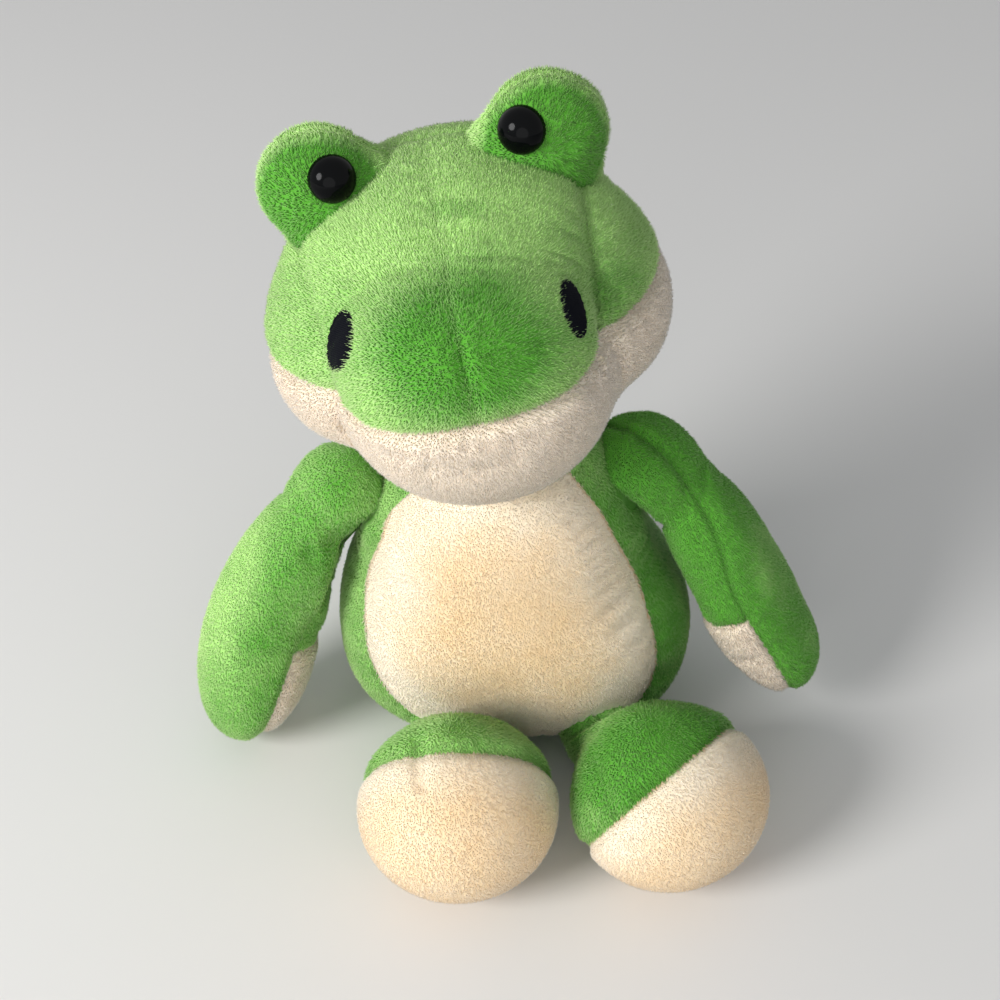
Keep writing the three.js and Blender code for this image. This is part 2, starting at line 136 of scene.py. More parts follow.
def makeStudio():
    bpy.ops.object.camera_add(location=view["at"], rotation=(math.radians(view["tiltDegrees"]), 0, 0))
    camera = bpy.context.object
    camera.data.lens = view["lens"]
    camera.data.sensor_width = view["sensor"]
    camera.data.clip_start = view["nearest"]
    bpy.context.scene.camera = camera

    softLamp("keyLamp", view["keyAt"], view["keySize"], view["keyPower"])
    softLamp("fillLamp", view["fillAt"], view["fillSize"], view["fillPower"])

    bpy.ops.mesh.primitive_plane_add(size=view["floorSize"], location=(0, 0, 0))
    floor = bpy.context.object
    floor.name = "floor"
    floor.data.materials.append(newMaterial("paleFloor", view["floorLook"])[0])

    world = bpy.data.worlds.new("studio")
    world.use_nodes = True
    bpy.context.scene.world = world
    tree = world.node_tree
    tree.nodes.clear()
    lit = {"Color": view["worldColour"], "Strength": view["worldStrength"]}
    light = built(tree, "ShaderNodeBackground", lit).outputs[0]
    white = built(tree, "ShaderNodeBackground", {"Color": (1, 1, 1, 1), "Strength": 1}).outputs[0]
    rays = tree.nodes.new("ShaderNodeLightPath").outputs
    shown = maths(tree, "MAXIMUM", rays["Is Camera Ray"], rays["Is Glossy Ray"])
    either = maths(tree, "MAXIMUM", shown, rays["Is Transmission Ray"])
    mix = built(tree, "ShaderNodeMixShader", {0: either, 1: light, 2: white})
    built(tree, "ShaderNodeOutputWorld", {0: mix.outputs[0]})
    bpy.context.scene.view_settings.view_transform = "Standard"


makeStudio()
print("studio made")

# ---- forms: eggs melted into each other, in millimetres, each part in its own frame

# Each stroke of the nap values is how much lighter, and the two distances that it rises between; some strokes
# are the nap and others painted light and shade, as marked where they stand
body = {
    "lean": 0.13,
    "baseShift": 9,
    "melt": 14,
    "neckAt": (2.8, 3, 90),
    "insideLevel": 56,
    "stretch": (1, 0.85, 1.25),
    "fill": 0.75,
    "bellyBack": -11.5,
    "bellyBottom": 9,
    "bellyLevels": [12, 20, 33, 46, 63, 83, 93, 103],
    "bellyLeft": [19, 32, 40.5, 42, 39, 33, 29, 23],
    "bellyRight": [19, 32, 40.5, 42, 39, 30, 24, 12],
    "curveStep": 0.125,
    "bellySeam": (0.6, 2.0),
    "backSeam": (1.0, 1.8),
    "flow": (0, -0.25, -1.0),
    "nap": {
        "side": 0.25,
        # painted light on the toy's right side, which faces the lamp, and painted shade on its left side
        "paintedLightRight": (0.2, 10, 50),
        "paintedShadeLeft": (-0.25, 10, 50),
        "belly": 0.15,
        "bellyEdge": (0.75, -22, -3),
        # painted light: the lower belly, which faces down into shade, is made lighter
        "bellyLowPaintedLight": (0.6, -50, -20),
    },
    "folds": [  # each the line seen, its depth and its width
        ([(343, 470), (349, 500), (352, 540)], 1.6, 2.2),
        ([(352, 492), (366, 512), (378, 522)], 0.9, 1.8),
        ([(636, 440), (650, 470), (668, 500)], 1.6, 2.4),
        ([(640, 470), (630, 500), (634, 525)], 0.8, 2.0),
        ([(352, 690), (372, 700), (392, 712)], 1.0, 2.2),
        ([(660, 676), (676, 668), (690, 655)], 1.2, 2.4),
    ],
}
head = {
    "roll": 12,
    "turn": 5,
    "centre": (0, -3, 59.5),
    "fill": 0.9,
    "melt": 6,
    "mouthAt": 61,
    "mouthSlope": 2,
    "backSeamAt": 13,
    "sideSeamAt": (32.5, 59.5),
    "sideSeamLean": 6,
    "nodCleared": 20,
    "nodGap": 1.5,
    "seams": {  # depths and widths
        "mouth": (2.0, 2.2),
        "back": (1.0, 1.8),
        "leftCheek": 1.1,
        "leftCheekLow": (1.0, -78, -62),
        "rightCheek": 0.4,
        "cheekWidth": 1.8,
        "top": (0.4, -92, -76),
        "topWidth": 1.5,
    },
    "flowFrom": (0, -50, 74),  # the nap runs away from here
    "upright": 26,
    "nap": {
        "top": 0.62,
        # painted light: the top of the head is made lighter
        "high": (0.4, 70, 92),
        "lip": (0.15, -7, -1),
        "patchEdge": (0.5, 1.15),  # shares of the half sizes in napAndShadePatches
        # painted rim light on the toy's left cheek, the side away from the lamp
        "leftCheek": (0.2, 0, 8),
        "jaw": 0.62,
        "jawRight": (-0.3, 10, 34),
        "jawLeft": (0.25, 5, 30),
        "seam": 0.12,
        "seamHigh": (-88, -76),
        "seamWidth": 1.4,
    },
    "napAndShadePatches": [  # the middle seen, the half sizes and how much darker: the first is the snout's nap lying the other way, the third is painted shade on the toy's left cheek beside the snout's crease, and the second and fourth make their spots darker
        ((462, 335), (112, 94), 0.85),
        ((458, 210), (36, 12), 0.35),
        ((620, 300), (34, 50), 0.35),
        ((322, 300), (40, 60), 0.15),
    ],
    "folds": [
        ([(345, 432), (372, 452), (400, 462)], 0.9, 2.0),
        ([(430, 470), (470, 474), (512, 462)], 0.8, 2.4),
        ([(470, 446), (500, 448), (540, 436)], 0.5, 1.8),
        ([(612, 336), (606, 358), (596, 386)], 1.8, 2.6),
        ([(336, 392), (344, 410), (352, 424)], 1.0, 2.0),
        ([(426, 214), (470, 206), (520, 214)], 0.5, 3.4),
        ([(452, 240), (470, 232), (492, 240)], 0.35, 2.0),
    ],
}
arm = {
    "root": 14.5,
    "ball": 14.8,
    "melt": 8,
    "eggs": {  # middles and radii, x outward
        "left": [
            ((9, 0, -38), (12.8, 15.8, 38)),
            ((6.5, -1, -64), (12.4, 17, 24)),
            ((9, -1, -80), (9, 12, 12)),
        ],
        "right": [
            ((9, 0, -38), (14, 17, 38)),
            ((6, -1, -66), (14.5, 18.5, 24)),
            ((12, 0, -52), (14, 15, 30)),
            ((3, 0, -24), (12.5, 14, 18)),
        ],
    },
    "inside": (8, 0, -38),
    "stretch": (1, 1, 2.2),
    "fill": 0.8,
    "splay": {"left": 30.5, "right": 21},
    "reach": {"left": 7.5, "right": 17},
    "twist": {"left": 20, "right": 0},
    "padStart": {"left": 54, "right": 50},
    "seamTurn": {"left": (-65, -40), "right": (55, 5)},  # at the shoulder and at the pad
    "turnBetween": (5, 52),
    "longSeam": (0.9, 1.6),
    "padSeam": (1.0, 1.6),
    "swings": [20, 0, -45, -90],
    "gap": 2.1,
    "flow": (0, 0, -1.0),
    "nap": {
        # painted shade: the left arm, away from the lamp, is darker than the right
        "left": -0.35,
        "right": 0.2,
        "outward": (0.5, 12, 24),
        "back": (0.25, 4, 16),
        "pad": 0.5,
    },
    "folds": {
        "left": [
            ([(640, 440), (668, 452), (690, 474)], 0.8, 2.2),
            ([(654, 500), (680, 512), (700, 540)], 0.8, 2.4),
        ],
        "right": [
            ([(300, 492), (322, 520), (341, 541)], 1.2, 2.2),
            ([(306, 556), (324, 548), (341, 541)], 1.0, 2.0),
            ([(296, 520), (306, 540), (312, 566)], 0.6, 2.0),
        ],
    },
}
leg = {
    "root": 14.5,
    "ball": 14.8,
    "melt": 20,
    "splay": {"left": 26, "right": -2},
    "middle": (0, -38, 7.5),
    "radii": (28.5, 26.5, 25.5),
    "under": -17.5,
    "inside": (0, -36, 7),
    "fill": 0.85,
    "soleTilt": {"left": -24.6, "right": -24},
    "soleTurn": {"left": 18, "right": 2},
    "soleBack": {"left": 4.4, "right": 10.2},  # how far the sole's edge lies behind the foot's middle
    "soleEnd": -31.5,
    "soleMelt": 12,
    "soleSeam": (1.3, 1.8),
    "swings": [0, -20, 25],
    "gap": 1.6,
    "flow": (0, -0.6, -1.0),
    "nap": {
        "sole": 0.2,
        "soleEdge": (0.7, -18, -2),
        "cover": 0.1,
        # painted light and shade: the top of the right leg, towards the lamp, is lighter and that of the left
        # leg darker
        "top": {"left": (-0.3, 14, 30), "right": (0.3, 14, 30)},
    },
    "folds": {
        "left": [
            ([(592, 762), (602, 790), (614, 812)], 1.6, 2.4),
            ([(598, 736), (592, 762), (588, 790)], 0.7, 2.2),
        ],
        "right": [([(419, 742), (416, 762), (421, 786)], 1.3, 2.2)],
    },
}
tail = {
    "root": 14,
    "ball": 14.3,
    "melt": 12,
    "tip": ((0, 30, -7), (8.5, 27, 8), 2.4),
    "under": -15,
    "inside": (0, 14, -4),
    "stretch": (1, 1.8, 1),
    "fill": 0.8,
    "swings": [0],
    "gap": 1.5,
    "flow": (0, 1.0, -0.3),
    "nap": 0.4,
}
bump = {
    "at": {"left": (28.5, 5, 95), "right": (26, 5, 95)},
    "radii": (16.5, 11, 18.5),
    "foot": ((0, 0.5, -9), (18.5, 10, 11)),
    "bluntness": 2.2,
    "melt": 5,
    "slope": 32,
    "eyeAt": {"left": (-8.4, 4.6), "right": (-7, 4.4)},
    "stretch": (1, 0.9, 1),
    "fill": 0.9,
    "seam": (0.5, 1.2),
    "flow": (1, 0.2, 1),
    # face is the nap seen end-on; rim and back are painted rim light round the bump's outline and along its
    # top
    "nap": {"face": -0.35, "paintedRimLight": (1.2, 0.78, 1.0), "back": (0.7, -3, 5)},
}
noSeam = 99  # a distance too far from a seam to count

toBody = Matrix.Translation(jointAt("neck_nod") - Vector(body["neckAt"]))
toHead = Matrix.Translation(jointAt("neck_nod")) @ turn("Y", -head["roll"]) @ turn("Z", head["turn"])
toTail = Matrix.Translation(jointAt("tail_lift"))
toArm, toLeg, toBump = {}, {}, {}
for side, s in sides.items():
    toArm[side] = (
        Matrix.Translation(jointAt("arm_swing_" + side))
        @ turn("X", -arm["reach"][side])
        @ turn("Y", -s * arm["splay"][side])
        @ turn("Z", -s * arm["twist"][side])
    )
    toLeg[side] = Matrix.Translation(jointAt("leg_swing_" + side)) @ turn("Z", s * leg["splay"][side])
    across, back, up = bump["at"][side]
    toBump[side] = toHead @ Matrix.Translation((s * across, back, up)) @ turn("Y", s * bump["slope"])


def egg(at, radii, bluntness=2.0):
    return np.array(at, float), np.array(radii, float), bluntness


def outside(points, shape):  # about how far outside an egg each point is
    at, radii, bluntness = shape
    shares = np.abs(points - at) / radii
    return (np.power(shares, bluntness).sum(1) ** (1 / bluntness) - 1) * radii.min()


def melted(points, shapes, melt):
    near = outside(points, shapes[0])
    for shape in shapes[1:]:
        far = outside(points, shape)
        share = np.maximum(melt - np.abs(near - far), 0) / melt
        near = np.minimum(near, far) - share * share * melt / 4
    return near


def axisAt(level):
    return body["baseShift"] - body["lean"] * level


trunkEggs = [
    egg((axisAt(32.5), 0, 32.5), (53, 37, 33), 2.5),
    egg((axisAt(64), 0, 64), (41.5, 32, 35), 2.4),
]
bodyEggs = trunkEggs + [egg(body["neckAt"], (27, 27, 27))]
headEggs = [
    egg((0, 3, 62.5), (47, 41, 38)),
    egg((0, -20, 42.5), (34, 31, 25)),
    egg((0, -27, 58.5), (34.5, 29, 28), 2.4),
    egg((31, -2, 53.5), (22, 29, 25)),
    egg((-31, -2, 53.5), (22, 29, 25)),
]


def bodyForm(points):
    return np.maximum(melted(points, bodyEggs, body["melt"]), -points[:, 2])


def trunkSeen(points, place, pivot, swing, shapes):  # the body as a part meets it once swung
    swung = Matrix.Translation(pivot) @ turn("X", swing) @ Matrix.Translation(-pivot)
    return melted(through(toBody.inverted() @ swung @ place, points), shapes, body["melt"])


def headForm(points):
    form = melted(points, headEggs, head["melt"])
    chest = trunkSeen(points, toHead, jointAt("neck_nod"), head["nodCleared"], trunkEggs)
    return np.maximum(form, head["nodGap"] - chest)


def limbForm(points, shapes, place, joint, limb):
    # Eggs melted onto the root's ball, with the swept body cut away all round the ball
    ball = egg((0, 0, 0), (limb["ball"],) * 3)
    form = melted(points, [ball] + shapes, limb["melt"])
    pastBall = np.linalg.norm(points, axis=1) - limb["root"]
    for swing in limb["swings"]:
        trunk = trunkSeen(points, place, jointAt(joint), swing, bodyEggs) - limb["gap"]
        form = np.maximum(form, -np.maximum(trunk, -pastBall))
    return form


def armForm(side):
    s = sides[side]
    shapes = [egg((s * x, y, z), radii) for (x, y, z), radii in arm["eggs"][side]]
    return lambda points: limbForm(points, shapes, toArm[side], "arm_swing_" + side, arm)


def legForm(side):
    shapes = [egg(leg["middle"], leg["radii"])]

    def form(points):
        limb = limbForm(points, shapes, toLeg[side], "leg_swing_" + side, leg)
        return np.maximum(limb, leg["under"] - points[:, 2])

    return form


def tailForm(points):
    limb = limbForm(points, [egg(*tail["tip"])], toTail, "tail_lift", tail)
    return np.maximum(limb, tail["under"] - points[:, 2])


def bumpForm(points):  # a stuffed half-disc, widest along the seam it stands on
    shapes = [egg((0, 0, 0), bump["radii"], bump["bluntness"]), egg(*bump["foot"], bump["bluntness"])]
    return melted(points, shapes, bump["melt"])


# ---- mesh helpers

def only(*pieces):
    bpy.ops.object.select_all(action="DESELECT")
    for piece in pieces:
        piece.select_set(True)
    bpy.context.view_layer.objects.active = pieces[0]


def inEdit(piece, step):
    only(piece)
    bpy.ops.object.mode_set(mode="EDIT")
    bpy.ops.mesh.select_all(action="SELECT")
    step()
    bpy.ops.object.mode_set(mode="OBJECT")


def applied(piece, modifier):
    only(piece)
    bpy.ops.object.modifier_apply(modifier=modifier.name)


def handedOver(piece, name, place, rider, nodes):
    piece.data.transform(Matrix.Scale(mm, 4) @ place)
    piece.data.update()
    piece.data.polygons.foreach_set("use_smooth", np.ones(len(piece.data.polygons), bool))
    piece.name = name
    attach(piece, rider)
    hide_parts(*nodes)


def pointsOf(piece):
    points = np.zeros(len(piece.data.vertices) * 3)
    piece.data.vertices.foreach_get("co", points)
    return points.reshape(-1, 3)


def setPoints(piece, points):
    piece.data.vertices.foreach_set("co", points.ravel())
    piece.data.update()


def normalsOf(piece):
    normals = np.zeros(len(piece.data.vertices) * 3)
    piece.data.vertices.foreach_get("normal", normals)
    return normals.reshape(-1, 3)


def centresOf(piece):
    centres = np.zeros(len(piece.data.polygons) * 3)
    piece.data.polygons.foreach_get("center", centres)
    return centres.reshape(-1, 3)


def addValue(piece, name, values, kind="FLOAT"):
    attribute = piece.data.attributes.new(name, kind, "POINT")
    key = "vector" if kind == "FLOAT_VECTOR" else "value"
    attribute.data.foreach_set(key, np.asarray(values, np.float32).ravel())


marching = {  # how a part's skin is found
    "subdivisions": 6,
    "step": 2.0,
    "steps": 60,
    "halvings": 10,
    "finer": ("body", "head"),
    "smoothness": 0.7,
}


def stuffed(name, form, centre, seamGap, stretch=(1, 1, 1)):
    # A ball whose points go out along their rays to the form's skin
    bpy.ops.object.select_all(action="DESELECT")
    bpy.ops.mesh.primitive_ico_sphere_add(subdivisions=marching["subdivisions"], radius=1)
    piece = bpy.context.object
    piece.name = name
    rays = pointsOf(piece) * np.array(stretch)
    rays /= np.linalg.norm(rays, axis=1)[:, None]
    middle = np.array(centre, float)
    reached = np.zeros(len(rays))
    going = np.ones(len(rays), bool)
    step = marching["step"]
    for _ in range(marching["steps"]):
        ahead = form(middle + rays * (reached + step)[:, None]) < -pile["depth"]
        going &= ahead
        reached[going] += step
        if not going.any():
            break
    low, high = reached, reached + step
    for _ in range(marching["halvings"]):
        half = (low + high) / 2
        inside = form(middle + rays * half[:, None]) < -pile["depth"]
        low, high = np.where(inside, half, low), np.where(inside, high, half)
    setPoints(piece, middle + rays * low[:, None])
    swell(piece, seamGap(pointsOf(piece)))
    if name in marching["finer"]:
        inEdit(piece, lambda: bpy.ops.mesh.subdivide(number_cuts=1, smoothness=marching["smoothness"]))
    return piece


filling = {
    "pressure": 4,
    "frames": 20,
    "scale": 0.02,  # the solver does little at the toy's real size
    "slack": -0.025,
    "stiffness": 10,
    "bending": 0.3,
    "quality": 4,
    "seamHold": 1.6,
    "seamFade": 3,
    "most": 1.1,
    "start": 0.35,
}


def swell(piece, gap):  # the filling pushes the cloth out between its held seams
    rest = pointsOf(piece)
    held = np.exp(-((gap / (filling["seamFade"] * filling["seamHold"])) ** 2))
    setPoints(piece, rest - normalsOf(piece) * (filling["start"] * (1 - held))[:, None])
    piece.data.transform(Matrix.Scale(filling["scale"], 4))
    group = piece.vertex_groups.new(name="seams")
    group.add([int(i) for i in np.where(np.abs(gap) < filling["seamHold"])[0]], 1.0, "ADD")
    only(piece)
    cloth = piece.modifiers.new("filling", "CLOTH")
    cloth.settings.use_pressure = True
    cloth.settings.uniform_pressure_force = filling["pressure"]
    cloth.settings.effector_weights.gravity = 0
    cloth.settings.vertex_group_mass = "seams"
    cloth.settings.shrink_min = filling["slack"]
    cloth.settings.tension_stiffness = filling["stiffness"]
    cloth.settings.compression_stiffness = filling["stiffness"]
    cloth.settings.bending_stiffness = filling["bending"]
    cloth.settings.quality = filling["quality"]
    cloth.point_cache.frame_end = filling["frames"]
    for moment in range(1, filling["frames"] + 1):
        bpy.context.scene.frame_set(moment)
    bpy.ops.object.modifier_apply(modifier=cloth.name)
    bpy.context.scene.frame_set(1)
    piece.vertex_groups.clear()
    piece.data.transform(Matrix.Scale(1 / filling["scale"], 4))
    moved = pointsOf(piece) - rest
    far = np.linalg.norm(moved, axis=1)
    moved *= np.minimum(1, filling["most"] / np.maximum(far, 1e-6))[:, None]
    setPoints(piece, rest + moved)
    print("swelled", piece.name, "by", round(float(far.mean()), 2), "mm")


def seenAt(points, place):  # where the camera sees a part's points, in the picture's thousandths
    seen = through(lensWay.inverted() @ place, points)
    scale = picture["focal"] / -seen[:, 2:3]
    return seen[:, :2] * scale * (1, -1) + picture["middle"], scale[:, 0]


def nearLine(spots, line):
    nearest = np.full(len(spots), np.inf)
    for a, b in zip(np.array(line, float)[:-1], np.array(line, float)[1:]):
        share = np.clip(((spots - a) @ (b - a)) / ((b - a) @ (b - a)), 0, 1)
        nearest = np.minimum(nearest, np.linalg.norm(spots - a - share[:, None] * (b - a), axis=1))
    return nearest


foldFade = (0.0, 0.35)  # folds fade where the cloth turns away from the camera


def creased(piece, place, folds):  # soft folds in the cloth, each a line across the part as seen
    for line, depth, width in folds:
        points, normals = pointsOf(piece), normalsOf(piece)
        spots, scale = seenAt(points, place)
        away = through(place, points) - np.array(view["at"]) * perMetre
        facing = -((through(place, points + normals) - through(place, points)) * away).sum(1)
        facing /= np.linalg.norm(away, axis=1)
        share = rise(facing, *foldFade) * np.exp(-((nearLine(spots, line) / scale / width) ** 2))
        setPoints(piece, points - normals * (depth * share)[:, None])


def cutAlong(piece, *planes):  # lays edges along planar seams
    def cutAll():
        for point, normal in planes:
            bpy.ops.mesh.select_all(action="SELECT")
            bpy.ops.mesh.bisect(plane_co=point, plane_no=normal)

    inEdit(piece, cutAll)


def drawIn(piece, gap, depth, width):  # gap is each point's distance from the seam
    inward = depth * np.exp(-((gap / width) ** 2))
    setPoints(piece, pointsOf(piece) - normalsOf(piece) * inward[:, None])


# ---- pile

pile = {
    "depth": 0.9,  # how far the skin lies below the outline that the pile makes
    "lift": 0.7,  # shares of the way that a tuft points: along the normal, and by chance
    "jitter": 0.34,
    "upright": 0.25,  # where the nap is weaker than this, the tufts stand up
    "perSquareMm": 3.6,
    "sides": 3,
    "lengths": (0.75, 1.25),
    "tufts": {  # lengths and widths
        "cover": (1.4, 0.17),
        "side": (1.3, 0.17),
        "arm": (1.1, 0.15),
        "jaw": (1.1, 0.14),
        "pad": (0.75, 0.12),
    },
    "floorGap": 0.3,
    "bareBelow": 2.6,
    "facingDown": -0.5,
    "pressed": 1.2,  # how deep in another part a skin grows no pile
}


def makePileNodes():
    group = bpy.data.node_groups.new("growPile", "GeometryNodeTree")
    for inOut in ("INPUT", "OUTPUT"):
        group.interface.new_socket("Geometry", in_out=inOut, socket_type="NodeSocketGeometry")
    skin, end = group.nodes.new("NodeGroupInput").outputs[0], group.nodes.new("NodeGroupOutput")
    random, vectors = "FunctionNodeRandomValue", "ShaderNodeVectorMath"

    def named(name, kind="FLOAT"):
        return built(group, "GeometryNodeInputNamedAttribute", {"Name": name}, data_type=kind).outputs[0]

    density = maths(group, "MULTIPLY", named("cover"), pile["perSquareMm"])
    scatter = built(group, "GeometryNodeDistributePointsOnFaces", {"Mesh": skin, "Density": density})
    up = {0: scatter.outputs["Normal"], "Scale": pile["lift"]}
    lifted = built(group, vectors, up, operation="SCALE").outputs[0]
    nap = maths(group, "ADD", lifted, named("nap", "FLOAT_VECTOR"), vectors)
    wander = {0: [-pile["jitter"]] * 3, 1: [pile["jitter"]] * 3, "Seed": 3}
    wandered = built(group, random, wander, data_type="FLOAT_VECTOR").outputs[0]
    way = maths(group, "ADD", nap, wandered, vectors)
    align = built(group, "FunctionNodeAlignRotationToVector", {"Vector": way}, axis="Z")

    tuft = {"Vertices": pile["sides"], "Radius Top": 0, "Radius Bottom": 1, "Depth": 1}
    cone = built(group, "GeometryNodeMeshCone", tuft, fill_type="NGON").outputs["Mesh"]
    position = group.nodes.new("GeometryNodeInputPosition").outputs[0]
    level = built(group, "ShaderNodeSeparateXYZ", {0: position})
    toTip = {"Name": "tip", "Geometry": cone, "Value": level.outputs["Z"]}
    tip = built(group, "GeometryNodeStoreNamedAttribute", toTip, data_type="FLOAT", domain="POINT")

    low, high = pile["lengths"]
    vary = built(group, random, {2: low, 3: high, "Seed": 5}, data_type="FLOAT").outputs[1]
    length, width = maths(group, "MULTIPLY", vary, named("pileLength")), named("pileWidth")
    size = built(group, "ShaderNodeCombineXYZ", {"X": width, "Y": width, "Z": length})
    tufts = {
        "Points": scatter.outputs["Points"],
        "Instance": tip.outputs["Geometry"],
        "Rotation": align.outputs["Rotation"],
        "Scale": size.outputs[0],
    }
    grown = built(group, "GeometryNodeInstanceOnPoints", tufts).outputs["Instances"]
    real = built(group, "GeometryNodeRealizeInstances", {"Geometry": grown})
    both = built(group, "GeometryNodeJoinGeometry", {0: skin})
    group.links.new(real.outputs["Geometry"], both.inputs[0])
    group.links.new(both.outputs[0], end.inputs[0])
    return group


pileNodes = makePileNodes()


def laid(piece, flow, upright):  # the nap: a direction for each point, brought onto the skin
    normals, flow = normalsOf(piece), np.asarray(flow, float)
    along = flow - normals * (flow * normals).sum(1)[:, None]
    size = np.linalg.norm(along, axis=1)[:, None]
    return along / np.maximum(size, upright)


def growPile(piece):
    grow = piece.modifiers.new("pile", "NODES")
    grow.node_group = pileNodes
    applied(piece, grow)


def closeBehind(piece, centre):  # the sewn edge goes in to the middle of the stuffing
    only(piece)
    bpy.ops.object.mode_set(mode="EDIT")
    bpy.ops.mesh.select_mode(type="EDGE")
    bpy.ops.mesh.select_all(action="DESELECT")
    bpy.ops.mesh.select_non_manifold(
        extend=False,
        use_wire=False,
        use_boundary=True,
        use_multi_face=False,
        use_non_contiguous=False,
        use_verts=False,
    )
    bpy.ops.object.mode_set(mode="OBJECT")
    if not any(edge.select for edge in piece.data.edges):
        return
    bpy.ops.object.mode_set(mode="EDIT")
    bpy.ops.mesh.extrude_region_move()
    bpy.ops.mesh.merge(type="COLLAPSE")
    bpy.ops.object.mode_set(mode="OBJECT")
    for vertex in piece.data.vertices:
        if vertex.select:
            vertex.co = centre


# ---- materials

shading = {  # what the noises, the nap values and the tufts' ends add to the colour: a painted highlight on the tips and painted shade at the roots
    "broadScale": 55,
    "fineScale": 900,
    "roughness": 0.6,
    "broad": 1.1,
    "fine": 0.4,
    # the tip share is a painted highlight on the tufts' tips; the three root values set the painted shade at
    # their roots and on the bare skin
    "tip": 0.3,
    "rootSpread": 0.3,
    "rootTo": 0.55,
    "rootLight": 0.65,
}


def noise(tree, scale, detail):
    place = built(tree, "ShaderNodeTexCoord").outputs["Object"]
    inputs = {"Vector": place, "Scale": scale, "Detail": detail, "Roughness": shading["roughness"]}
    return built(tree, "ShaderNodeTexNoise", inputs).outputs["Fac"]


def makePileShade():
    # Brushed-up pile is light and pile seen end-on is dark; the tufts' tips get a painted highlight, and
    # their roots and the bare skin between them a painted shade
    group = bpy.data.node_groups.new("pileShade", "ShaderNodeTree")
    for name in ("PaintedRootShade", "Dark", "Light"):
        group.interface.new_socket(name, in_out="INPUT", socket_type="NodeSocketColor")
    group.interface.new_socket("Color", in_out="OUTPUT", socket_type="NodeSocketColor")
    group.interface.new_socket("Height", in_out="OUTPUT", socket_type="NodeSocketFloat")
    start, end = group.nodes.new("NodeGroupInput").outputs, group.nodes.new("NodeGroupOutput")
    broad, fine = noise(group, shading["broadScale"], 3), noise(group, shading["fineScale"], 2)

    def attribute(name):
        return built(group, "ShaderNodeAttribute", attribute_name=name).outputs["Fac"]

    def centred(value, amount):
        return maths(group, "MULTIPLY", maths(group, "SUBTRACT", value, 0.5), amount)

    def mixed(factor, first, second):
        return built(group, "ShaderNodeMix", {0: factor, 6: first, 7: second}, data_type="RGBA").outputs[2]

    patchy = maths(group, "ADD", attribute("napAndPaintedLight"), centred(broad, shading["broad"]))
    light = maths(group, "ADD", patchy, centred(fine, shading["fine"]))
    # painted highlight: the tufts' tips are made lighter
    ends = maths(group, "MULTIPLY", attribute("tip"), shading["tip"])
    clamp = built(group, "ShaderNodeClamp", {0: maths(group, "ADD", light, ends)})
    colour = mixed(clamp.outputs[0], start["Dark"], start["Light"])
    # painted shade: the roots of the tufts and the bare skin between them are mixed towards the dark root
    # colour
    spread = maths(group, "MULTIPLY", fine, shading["rootSpread"])
    height = maths(group, "ADD", attribute("tip"), spread)
    ramp = {0: height, 1: 0.0, 2: shading["rootTo"], 3: shading["rootLight"], 4: 1.0}
    rooted = built(group, "ShaderNodeMapRange", ramp)
    group.links.new(mixed(rooted.outputs[0], start["PaintedRootShade"], colour), end.inputs["Color"])
    group.links.new(fine, end.inputs["Height"])
    return group


pileShade = makePileShade()
pileLook = {
    "Roughness": 0.95,
    "Specular IOR Level": 0.15,
    "Subsurface Radius": (1.0, 1.0, 0.8),
    "Subsurface Scale": 0.0018,
    "Sheen Weight": 0.35,
    "Sheen Roughness": 0.45,
}


def roughened(tree, shader, height, strength, distance):
    inputs = {"Strength": strength, "Distance": distance, "Height": height}
    bumps = built(tree, "ShaderNodeBump", inputs)
    tree.links.new(bumps.outputs[0], shader.inputs["Normal"])


def pileMaterial(name, deep, dark, light, sheen, under):
    look = {**pileLook, "Subsurface Weight": under, "Sheen Tint": sheen}
    material, tree, shader = newMaterial(name, look)
    # the deep colour is painted shade for the tufts' roots and the bare skin between them
    colours = {"PaintedRootShade": deep, "Dark": dark, "Light": light}
    shade = built(tree, "ShaderNodeGroup", colours, node_tree=pileShade)
    tree.links.new(shade.outputs["Color"], shader.inputs["Base Color"])
    roughened(tree, shader, shade.outputs["Height"], 0.35, 0.0006)
    return material


# each pile's deep colour is painted shade at the roots of its tufts
greenPile = pileMaterial(
    "greenPile",
    deep=linear(82, 152, 46),
    dark=linear(94, 170, 56),
    light=linear(204, 244, 152),
    sheen=linear(220, 250, 180),
    under=0.2,
)
creamPile = pileMaterial(
    "creamPile",
    deep=linear(232, 214, 190),
    dark=linear(236, 216, 190),
    light=linear(250, 238, 220),
    sheen=linear(255, 250, 244),
    under=0.35,
)
peachPile = pileMaterial(
    "peachPile",
    deep=linear(242, 216, 174),
    dark=linear(244, 214, 168),
    light=linear(252, 240, 220),
    sheen=linear(255, 248, 236),
    under=0.35,
)


def hardMaterial(name, colour, roughness, grainScale, grainDepth, specular=0.5):
    material, tree, shader = newMaterial(name, {"Base Color": colour, "Specular IOR Level": specular})
    grain = noise(tree, grainScale, 3)
    ramp = built(tree, "ShaderNodeMapRange", {0: grain, 3: roughness * 0.8, 4: roughness * 1.25})
    tree.links.new(ramp.outputs[0], shader.inputs["Roughness"])
    roughened(tree, shader, grain, 0.3, grainDepth)
    return material


eyeBlack = hardMaterial("eyeBlack", linear(5, 6, 7), 0.1, 700, 0.00002, specular=0.07)
threadBlack = hardMaterial("threadBlack", linear(9, 11, 17), 0.85, 2500, 0.0002, specular=0.08)
washerWhite = hardMaterial("washerWhite", linear(232, 232, 228), 0.45, 900, 0.00005)
print("materials made")


# ---- sewing a part's panels

